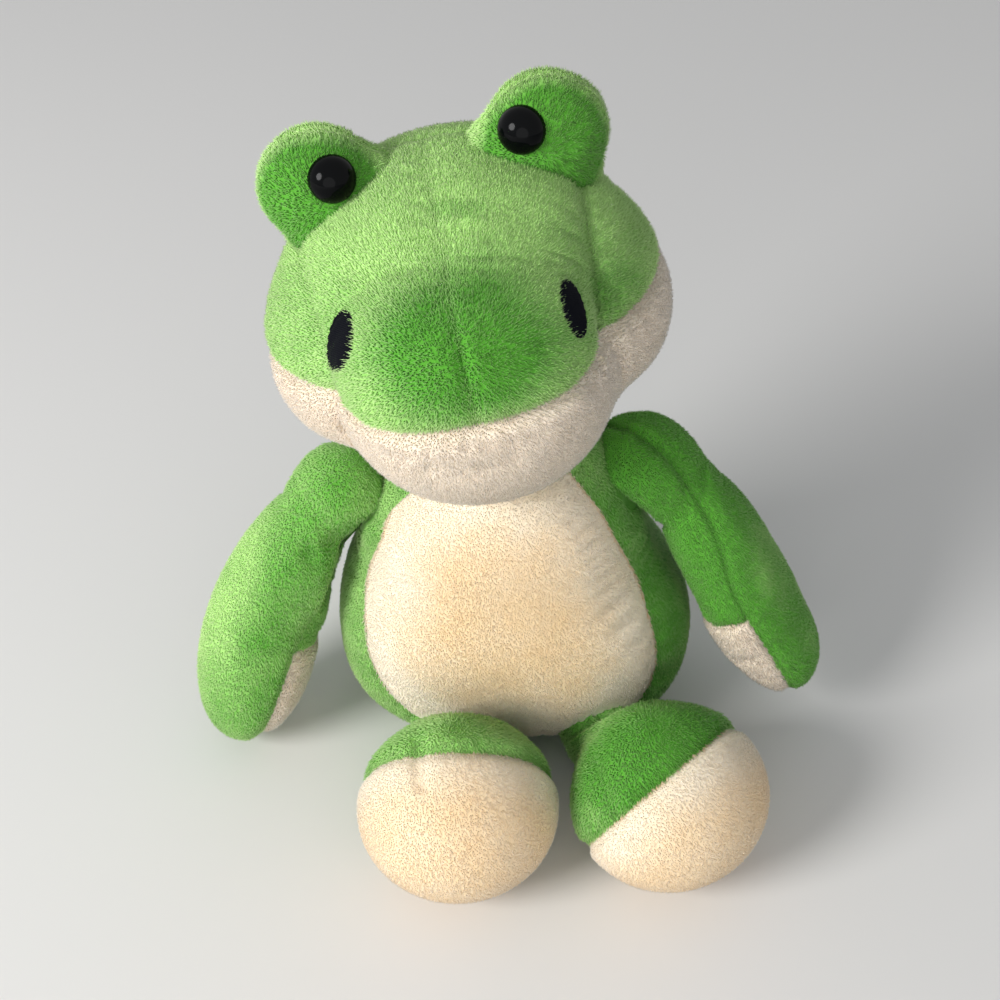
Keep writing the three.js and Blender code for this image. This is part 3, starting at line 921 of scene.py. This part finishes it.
def sewn(whole, panels, panelOf, centre, place, rider):
    which = panelOf(centresOf(whole))
    whole.data.materials.clear()
    for panel in panels:
        whole.data.materials.append(bpy.data.materials.new("cut_" + panel[0]))
    whole.data.polygons.foreach_set("material_index", which.astype(np.int32))
    whole.data.update()
    inEdit(whole, lambda: bpy.ops.mesh.separate(type="MATERIAL"))
    for piece in list(bpy.context.selected_objects):
        cut = piece.data.materials[piece.data.polygons[0].material_index].name
        name, material, nodes, slot = next(panel for panel in panels if "cut_" + panel[0] == cut)
        growPile(piece)
        piece.data.materials.clear()
        piece.data.materials.append(material)
        piece.data.polygons.foreach_set("material_index", np.zeros(len(piece.data.polygons), np.int32))
        closeBehind(piece, Vector(centre))
        handedOver(piece, name, place, rider, nodes)
        print("sewn", name, len(piece.data.polygons), "faces")


def onePanel(centres):
    return np.zeros(len(centres), int)


bodyCentre = (axisAt(body["insideLevel"]), 0, body["insideLevel"])
fields = {
    "body": (toBody, bodyForm),
    "head": (toHead, headForm),
    "tail": (toTail, tailForm),
}
for side in sides:
    fields["arm_" + side] = (toArm[side], armForm(side))
    fields["leg_" + side] = (toLeg[side], legForm(side))
    fields["bump_" + side] = (toBump[side], bumpForm)


def coverage(piece, name):  # no pile grows underneath, or where another part is pressed on
    points = through(fields[name][0], pointsOf(piece))
    underneath = (points[:, 2] < pile["bareBelow"]) & (normalsOf(piece)[:, 2] < pile["facingDown"])
    cover = np.where(underneath, 0.0, 1.0)
    for other, (place, form) in fields.items():
        if other != name:
            cover[form(through(place.inverted(), points)) < -pile["pressed"]] = 0
    return cover


def settled(piece, place):  # nothing sinks into the floor
    points = through(place, pointsOf(piece))
    points[:, 2] = np.maximum(points[:, 2], pile["floorGap"])
    setPoints(piece, through(place.inverted(), points))


def brushUp(piece, name, napAndPaintedLight, flow, length, width, bare=None, upright=pile["upright"]):
    settled(piece, fields[name][0])
    cover = coverage(piece, name)
    if bare is not None:
        cover[bare] = 0
    # these values hold the nap and also painted light and shade, which the pile's colour follows
    addValue(piece, "napAndPaintedLight", napAndPaintedLight)
    addValue(piece, "nap", laid(piece, flow, upright), "FLOAT_VECTOR")
    addValue(piece, "pileLength", np.broadcast_to(length, (len(napAndPaintedLight),)))
    addValue(piece, "pileWidth", np.broadcast_to(width, (len(napAndPaintedLight),)))
    addValue(piece, "cover", cover)


def stroked(values, stroke):  # one stroke of the values that hold the nap and the painted light and shade
    amount, low, high = stroke
    return amount * rise(values, low, high)


def tuftsWhere(mask, first, second):
    return [np.where(mask, a, b) for a, b in zip(pile["tufts"][first], pile["tufts"][second])]


# ---- body

def bellyOutline():
    left = list(zip(body["bellyLeft"], body["bellyLevels"]))
    right = [(-x, z) for x, z in zip(body["bellyRight"], body["bellyLevels"])]
    knots = np.array(left[::-1] + [(0, body["bellyBottom"])] + right, float)
    line = []
    last = len(knots) - 1
    for i in range(last):  # a smooth curve through the knots
        a, b, c, d = knots[max(i - 1, 0)], knots[i], knots[i + 1], knots[min(i + 2, last)]
        second, third = 2 * a - 5 * b + 4 * c - d, 3 * b - a - 3 * c + d
        for t in np.arange(0, 1, body["curveStep"]):
            line.append(0.5 * (2 * b + (c - a) * t + second * t**2 + third * t**3))
    line.append(knots[-1])
    return np.array(line)


def insideOutline(points, line):  # distance in from a closed outline, negative outside
    starts, ends = line, np.roll(line, -1, axis=0)
    nearest = np.full(len(points), np.inf)
    crossings = np.zeros(len(points), int)
    for a, b in zip(starts, ends):
        along = b - a
        share = np.clip(((points - a) @ along) / max(along @ along, 1e-9), 0, 1)
        nearest = np.minimum(nearest, np.linalg.norm(points - a - share[:, None] * along, axis=1))
        straddles = (a[1] > points[:, 1]) != (b[1] > points[:, 1])
        with np.errstate(divide="ignore", invalid="ignore"):
            where = a[0] + (points[:, 1] - a[1]) * (b[0] - a[0]) / (b[1] - a[1])
        crossings += straddles & (points[:, 0] < where)
    return np.where(crossings % 2 == 1, nearest, -nearest)


outline = bellyOutline()


def bellyDepth(points):
    flat = np.stack([points[:, 0] - body["baseShift"] + body["lean"] * points[:, 2], points[:, 2]], 1)
    return np.minimum(insideOutline(flat, outline), body["bellyBack"] - points[:, 1])


def bodySeams(points):
    middle = np.where(bellyDepth(points) < 0, np.abs(points[:, 0] - axisAt(points[:, 2])), noSeam)
    return np.minimum(np.abs(bellyDepth(points)), middle)


def makeBody():
    whole = stuffed("body", bodyForm, bodyCentre, bodySeams, body["stretch"])
    creased(whole, toBody, body["folds"])
    cutAlong(whole, (bodyCentre, (1, 0, body["lean"])))
    points = pointsOf(whole)
    belly = bellyDepth(points)
    middle = points[:, 0] - axisAt(points[:, 2])
    drawIn(whole, belly, *body["bellySeam"])
    drawIn(whole, np.where(belly < 0, middle, noSeam), *body["backSeam"])
    nap = body["nap"]
    # painted light and shade: the side towards the lamp is lighter, the far side darker
    green = nap["side"] + stroked(-middle, nap["paintedLightRight"]) + stroked(middle, nap["paintedShadeLeft"])
    # pale carries painted light on the lower belly, against the shade there
    pale = nap["belly"] + stroked(-belly, nap["bellyEdge"]) + stroked(-points[:, 2], nap["bellyLowPaintedLight"])
    napAndPaintedLight = np.where(belly > 0, pale, green)
    brushUp(whole, "body", napAndPaintedLight, body["flow"], *tuftsWhere(belly > 0, "pad", "side"))

    def panelOf(centres):
        side = np.where(centres[:, 0] - axisAt(centres[:, 2]) > 0, 1, 2)
        return np.where(bellyDepth(centres) > 0, 0, side)

    panels = [
        ("bellyPanel", peachPile, ["belly_panel"], "peach_pile"),
        ("bodySideLeft", greenPile, ["body_side_left", "body_stuffing"], "green_pile"),
        ("bodySideRight", greenPile, ["body_side_right", "pellet_bag"], "green_pile"),
    ]
    sewn(whole, panels, panelOf, bodyCentre, toBody, "body")


# ---- head

nostril = {  # middles and half sizes as seen, in the picture's thousandths
    "seenAt": {"left": (573, 309), "right": (341, 341)},
    "half": {"left": (10.5, 31), "right": (12.5, 32)},
    "lean": {"left": -16, "right": 9},
    "bareWithin": 0.84,
    "bareBefore": -15,
    "grid": (60, 90),
    "raised": 0.75,
    "thickness": 0.9,
    "threads": 30,
    "threadSlant": 0.1,
    "threadHeight": 0.2,
    "threadsWithin": 0.98,
    "ragged": 0.05,  # how much the edge wavers, as a share of its width
    "ragging": 23,
}


def nostrilShare(side, points):  # 1 on the nostril's edge and less within
    lean = math.radians(nostril["lean"][side])
    x, y = (seenAt(points, toHead)[0] - nostril["seenAt"][side]).T
    wide, high = nostril["half"][side]
    across, up = x * math.cos(lean) + y * math.sin(lean), y * math.cos(lean) - x * math.sin(lean)
    return np.hypot(across / wide, up / high)


def mouthPlane():
    tilt = math.radians(head["mouthSlope"])
    return (0, 0, head["mouthAt"]), (0, -math.sin(tilt), math.cos(tilt))


def cheekPlane(side):
    s, lean = sides[side], math.radians(head["sideSeamLean"])
    across, level = head["sideSeamAt"]
    return (s * across, 0, level), (s * math.cos(lean), 0, -math.sin(lean))


def beyond(points, plane):  # how far past a plane each point is
    at, normal = plane
    return (points - np.array(at)) @ np.array(normal)


def headSeams(points):
    mouth, back = beyond(points, mouthPlane()), points[:, 1] - head["backSeamAt"]
    cheeks = [np.abs(beyond(points, cheekPlane(side))) for side in sides]
    above = np.where(mouth > 0, np.minimum(np.minimum(*cheeks), np.abs(points[:, 0])), noSeam)
    return np.minimum(np.abs(back), np.where(back < 0, np.minimum(np.abs(mouth), above), noSeam))


def makeHead():
    whole = stuffed("head", headForm, head["centre"], headSeams)
    creased(whole, toHead, head["folds"])
    backPlane = ((0, head["backSeamAt"], 0), (0, 1, 0))
    topPlane = ((0, 0, 0), (1, 0, 0))
    cutAlong(whole, backPlane, mouthPlane(), cheekPlane("left"), cheekPlane("right"), topPlane)
    points = pointsOf(whole)
    mouth, back = beyond(points, mouthPlane()), points[:, 1] - head["backSeamAt"]
    cheeks = np.maximum(*[beyond(points, cheekPlane(side)) for side in sides])
    front = back < 0
    top = front & (mouth > 0)
    seams, nap = head["seams"], head["nap"]
    drawIn(whole, np.where(front, mouth, noSeam), *seams["mouth"])
    drawIn(whole, back, *seams["back"])
    leftDepth = seams["leftCheek"] + stroked(-points[:, 2], seams["leftCheekLow"])
    cheekDepth = np.where(points[:, 0] > 0, leftDepth, seams["rightCheek"])
    drawIn(whole, np.where(top, cheeks, noSeam), cheekDepth, seams["cheekWidth"])
    topDepth = stroked(-points[:, 2], seams["top"])
    drawIn(whole, np.where(top, points[:, 0], noSeam), topDepth, seams["topWidth"])
    skin = BVHTree.FromPolygons(pointsOf(whole), [face.vertices[:] for face in whole.data.polygons])

    spots = seenAt(points, toHead)[0]
    # the high stroke is painted light on the top of the head
    napAndPaintedLight = nap["top"] + stroked(points[:, 2], nap["high"]) + stroked(-mouth, nap["lip"])
    # darker patches: the snout's nap, and painted shade on the toy's left cheek
    for middle, size, less in head["napAndShadePatches"]:
        gone = np.hypot(*((spots - middle) / size).T)
        napAndPaintedLight -= less * (1 - rise(gone, *nap["patchEdge"])) * front
    # painted rim light on the toy's left cheek, which lies away from the lamp
    napAndPaintedLight += np.where(points[:, 0] > 0, stroked(cheeks, nap["leftCheek"]), 0.0)
    jaw = nap["jaw"] + stroked(-points[:, 0], nap["jawRight"]) + stroked(points[:, 0], nap["jawLeft"])
    napAndPaintedLight = np.where((mouth < 0) & front, jaw, napAndPaintedLight)
    onSeam = nap["seam"] * np.exp(-((points[:, 0] / nap["seamWidth"]) ** 2))
    napAndPaintedLight += onSeam * rise(-points[:, 2], *nap["seamHigh"])
    flow = points - np.array(head["flowFrom"])
    bare = np.zeros(len(points), bool)
    for side in sides:
        bare |= (nostrilShare(side, points) < nostril["bareWithin"]) & (points[:, 1] < nostril["bareBefore"])
    brushUp(whole, "head", napAndPaintedLight, flow, *tuftsWhere(mouth < 0, "jaw", "cover"), bare, head["upright"])

    def panelOf(centres):
        which = np.where(centres[:, 0] > 0, 4, 5)
        which = np.where(beyond(centres, cheekPlane("left")) > 0, 2, which)
        which = np.where(beyond(centres, cheekPlane("right")) > 0, 3, which)
        which = np.where(beyond(centres, mouthPlane()) < 0, 1, which)
        return np.where(centres[:, 1] > head["backSeamAt"], 0, which)

    panels = [
        ("headBack", greenPile, ["head_back", "head_stuffing"], "green_pile"),
        ("lowerJaw", creamPile, ["lower_jaw"], "cream_pile"),
        ("cheekLeft", greenPile, ["cheek_left"], "green_pile"),
        ("cheekRight", greenPile, ["cheek_right"], "green_pile"),
        ("headTopLeft", greenPile, ["head_top_left"], "green_pile"),
        ("headTopRight", greenPile, ["head_top_right"], "green_pile"),
    ]
    sewn(whole, panels, panelOf, head["centre"], toHead, "head")
    return skin


# ---- eye bumps, eyes and nostrils

eye = {
    "radius": 5.9,
    "height": 5.0,
    "underside": 0.16,
    "seat": 1.3,
    "bare": 5.4,
    "shank": 2.0,
    "shankLength": 8.0,
    "shankAt": -4.4,  # the middle's level, as the washer's
    "washer": 5.8,
    "washerThickness": 1.4,
    "washerAt": -3.8,
    "edge": 0.3,
    "edgeSegments": 3,
}


def eyePlace(side):  # the point on the bump's skin, and the way it faces
    across, up = sides[side] * bump["eyeAt"][side][0], bump["eyeAt"][side][1]
    wide, deep, high = bump["radii"]
    skin = np.array((across, -deep * math.sqrt(1 - (across / wide) ** 2 - (up / high) ** 2), up))
    facing = skin / np.array(bump["radii"]) ** 2
    return skin, Vector(facing).normalized()


def makeBump(side):
    name = "bump_" + side
    whole = stuffed(name, bumpForm, (0, 0, 0), lambda points: np.abs(points[:, 1]), bump["stretch"])
    points = pointsOf(whole)
    wide, deep, high = bump["radii"]
    edge = np.sqrt((points[:, 0] / wide) ** 2 + (points[:, 2] / high) ** 2)
    drawIn(whole, points[:, 1], *bump["seam"])
    nap = bump["nap"]
    # painted rim light round the outline and along the top, over the nap of the face
    napAndPaintedLight = nap["face"] + stroked(edge, nap["paintedRimLight"]) + stroked(points[:, 1], nap["back"])
    underEye = np.linalg.norm(points - eyePlace(side)[0], axis=1) < eye["bare"]
    brushUp(whole, name, napAndPaintedLight, points * np.array(bump["flow"]), *pile["tufts"]["cover"], underEye)
    covers = ["eye_bump_" + side, "eye_bump_stuffing_" + side]
    panels = [("eyeBump" + side.capitalize(), greenPile, covers, "green_pile")]
    sewn(whole, panels, onePanel, (0, 0, 0), toBump[side], "head")


def makeEye(side):
    skin, facing = eyePlace(side)
    bpy.ops.object.select_all(action="DESELECT")
    bpy.ops.mesh.primitive_uv_sphere_add(segments=64, ring_count=32, radius=eye["radius"])
    dome = bpy.context.object
    points = pointsOf(dome)
    points[:, 2] *= np.where(points[:, 2] < 0, eye["underside"], eye["height"] / eye["radius"])
    setPoints(dome, points)
    bpy.ops.mesh.primitive_cylinder_add(
        vertices=24, radius=eye["shank"], depth=eye["shankLength"], location=(0, 0, eye["shankAt"])
    )
    shank = bpy.context.object
    bpy.ops.mesh.primitive_cylinder_add(
        vertices=40, radius=eye["washer"], depth=eye["washerThickness"], location=(0, 0, eye["washerAt"])
    )
    washer = bpy.context.object
    for part in (shank, washer):
        part.data.transform(part.matrix_world)
        part.matrix_world = Matrix.Identity(4)
        edge = part.modifiers.new("edge", "BEVEL")
        edge.width = eye["edge"]
        edge.segments = eye["edgeSegments"]
        applied(part, edge)
    only(dome, shank)
    bpy.ops.object.join()
    turnTo = facing.to_track_quat("Z", "Y").to_matrix().to_4x4()
    place = toBump[side] @ Matrix.Translation(Vector(skin) - facing * eye["seat"]) @ turnTo
    dome.data.materials.append(eyeBlack)
    washer.data.materials.append(washerWhite)
    word = side.capitalize()
    handedOver(dome, "eye" + word, place, "head", ["eye_" + side])
    handedOver(washer, "eyeWasher" + word, place, "head", ["eye_washer_" + side])


def underSpots(spots, skin, form, place):  # the points of a part's skin that spots of the picture show
    flat = np.stack([spots[:, 0], -spots[:, 1], np.full(len(spots), 0.0)], 1)
    flat += (-picture["middle"], picture["middle"], -picture["focal"])
    ends = through(place.inverted() @ lensWay, flat)
    start = np.array(place.inverted() @ (Vector(view["at"]) * perMetre))
    ways = (ends - start) / np.linalg.norm(ends - start, axis=1)[:, None]
    under = np.array([skin.ray_cast(Vector(start), Vector(way))[0] for way in ways])
    slope = np.stack([form(under + step) - form(under - step) for step in np.eye(3) * 0.5], 1)
    return under, slope / np.linalg.norm(slope, axis=1)[:, None]


def makeNostril(side, skin):
    wide, high = nostril["half"][side]
    bpy.ops.object.select_all(action="DESELECT")
    columns, rows = nostril["grid"]
    bpy.ops.mesh.primitive_grid_add(x_subdivisions=columns, y_subdivisions=rows, size=2)
    patch = bpy.context.object
    flat = pointsOf(patch)[:, :2]
    square = np.abs(flat)
    disc = flat * np.sqrt(1 - square[:, ::-1] ** 2 / 2)  # the square's points spread over a disc
    edge = np.linalg.norm(disc, axis=1)
    lean = math.radians(nostril["lean"][side])
    ragged = 1 + nostril["ragged"] * np.sin(disc[:, 1] * nostril["ragging"]) * edge**2
    x, y = disc[:, 0] * wide * ragged, -disc[:, 1] * high
    spots = np.stack([x * math.cos(lean) - y * math.sin(lean), x * math.sin(lean) + y * math.cos(lean)], 1)
    under, out = underSpots(spots + nostril["seenAt"][side], skin, headForm, toHead)
    along = disc[:, 1] + nostril["threadSlant"] * disc[:, 0]
    threads = 0.5 + 0.5 * np.cos(math.pi * nostril["threads"] * along)
    raised = nostril["raised"] * np.sqrt(np.clip(1 - edge**4, 0, 1))
    raised += nostril["threadHeight"] * threads * (edge < nostril["threadsWithin"])
    setPoints(patch, under + out * raised[:, None])
    wall = patch.modifiers.new("back", "SOLIDIFY")
    wall.thickness = nostril["thickness"]
    wall.offset = -1
    applied(patch, wall)
    inEdit(patch, lambda: bpy.ops.mesh.normals_make_consistent(inside=False))
    patch.data.materials.append(threadBlack)
    name = "nostril" + side.capitalize()
    handedOver(patch, name, toHead, "head", ["nostril_" + side])


# ---- arms, legs and tail

def armSeam(points, side):  # distance from the long seam, more than 0 on the outer panel
    atShoulder, atPad = arm["seamTurn"][side]
    angle = np.radians(atShoulder + (atPad - atShoulder) * rise(-points[:, 2], *arm["turnBetween"]))
    return sides[side] * points[:, 0] * np.cos(angle) - points[:, 1] * np.sin(angle)


def makeArm(side):
    s = sides[side]
    name = "arm_" + side
    across, back, up = arm["inside"]
    middle = (s * across, back, up)
    padAt = -arm["padStart"][side]
    whole = stuffed(name, armForm(side), middle, lambda points: np.abs(armSeam(points, side)), arm["stretch"])
    creased(whole, toArm[side], arm["folds"][side])
    cutAlong(whole, ((0, 0, padAt), (0, 0, 1)))
    points = pointsOf(whole)
    seam = armSeam(points, side)
    drawIn(whole, seam, *arm["longSeam"])
    drawIn(whole, np.where(seam < 0, points[:, 2] - padAt, noSeam), *arm["padSeam"])
    pad = (seam < 0) & (points[:, 2] < padAt)
    nap = arm["nap"]
    # nap[side] holds painted shade on the left arm
    napAndPaintedLight = nap[side] + stroked(s * points[:, 0], nap["outward"]) + stroked(points[:, 1], nap["back"])
    brushUp(whole, name, np.where(pad, nap["pad"], napAndPaintedLight), arm["flow"], *pile["tufts"]["arm"])
    word = side.capitalize()

    def panelOf(centres):
        inner = np.where(centres[:, 2] > padAt, 1, 2)
        return np.where(armSeam(centres, side) > 0, 0, inner)

    panels = [
        ("armOuter" + word, greenPile, ["arm_outer_" + side, "arm_stuffing_" + side], "green_pile"),
        ("armInner" + word, greenPile, ["arm_inner_" + side], "green_pile"),
        ("handPad" + word, creamPile, ["hand_pad_" + side], "cream_pile"),
    ]
    sewn(whole, panels, panelOf, middle, toArm[side], name)


def soleWay(side):
    tilt = math.radians(leg["soleTilt"][side])
    aside = turn("Z", sides[side] * leg["soleTurn"][side])
    return np.array(aside @ Vector((0, -math.cos(tilt), math.sin(tilt))))


def soleDepth(points, side):  # how far within the sole's edge each point is
    above = (points - np.array(leg["middle"])) @ soleWay(side) + leg["soleBack"][side]
    behind = leg["soleEnd"] - points[:, 1]
    melt = leg["soleMelt"]
    share = np.clip(0.5 - (above - behind) / melt, 0, 1)
    return behind * (1 - share) + above * share - melt / 2 * share * (1 - share)


def makeLeg(side):
    name = "leg_" + side
    whole = stuffed(name, legForm(side), leg["inside"], lambda points: np.abs(soleDepth(points, side)))
    creased(whole, toLeg[side], leg["folds"][side])
    points = pointsOf(whole)
    sole = soleDepth(points, side)
    drawIn(whole, sole, *leg["soleSeam"])
    nap = leg["nap"]
    pale = nap["sole"] + stroked(-sole, nap["soleEdge"])
    # the top stroke is painted light on the right leg and painted shade on the left
    napAndPaintedLight = np.where(sole > 0, pale, nap["cover"] + stroked(points[:, 2], nap["top"][side]))
    brushUp(whole, name, napAndPaintedLight, leg["flow"], *tuftsWhere(sole > 0, "pad", "cover"))
    word = side.capitalize()

    def panelOf(centres):
        return np.where(soleDepth(centres, side) > 0, 0, 1)

    panels = [
        ("footSole" + word, peachPile, ["foot_sole_" + side], "peach_pile"),
        ("legCover" + word, greenPile, ["leg_" + side, "leg_stuffing_" + side], "green_pile"),
    ]
    sewn(whole, panels, panelOf, leg["inside"], toLeg[side], name)


def makeTail():
    whole = stuffed("tail", tailForm, tail["inside"], lambda points: np.abs(points[:, 0]), tail["stretch"])
    napAndPaintedLight = np.full(len(pointsOf(whole)), tail["nap"])
    brushUp(whole, "tail", napAndPaintedLight, tail["flow"], *pile["tufts"]["side"])
    panels = [("tailCover", greenPile, ["tail", "tail_stuffing"], "green_pile")]
    sewn(whole, panels, onePanel, tail["inside"], toTail, "tail")


makeBody()
headSkin = makeHead()
for side in sides:
    makeBump(side)
    makeEye(side)
    makeNostril(side, headSkin)
    makeArm(side)
    makeLeg(side)
makeTail()
print("toy made")

bpy.context.view_layer.update()
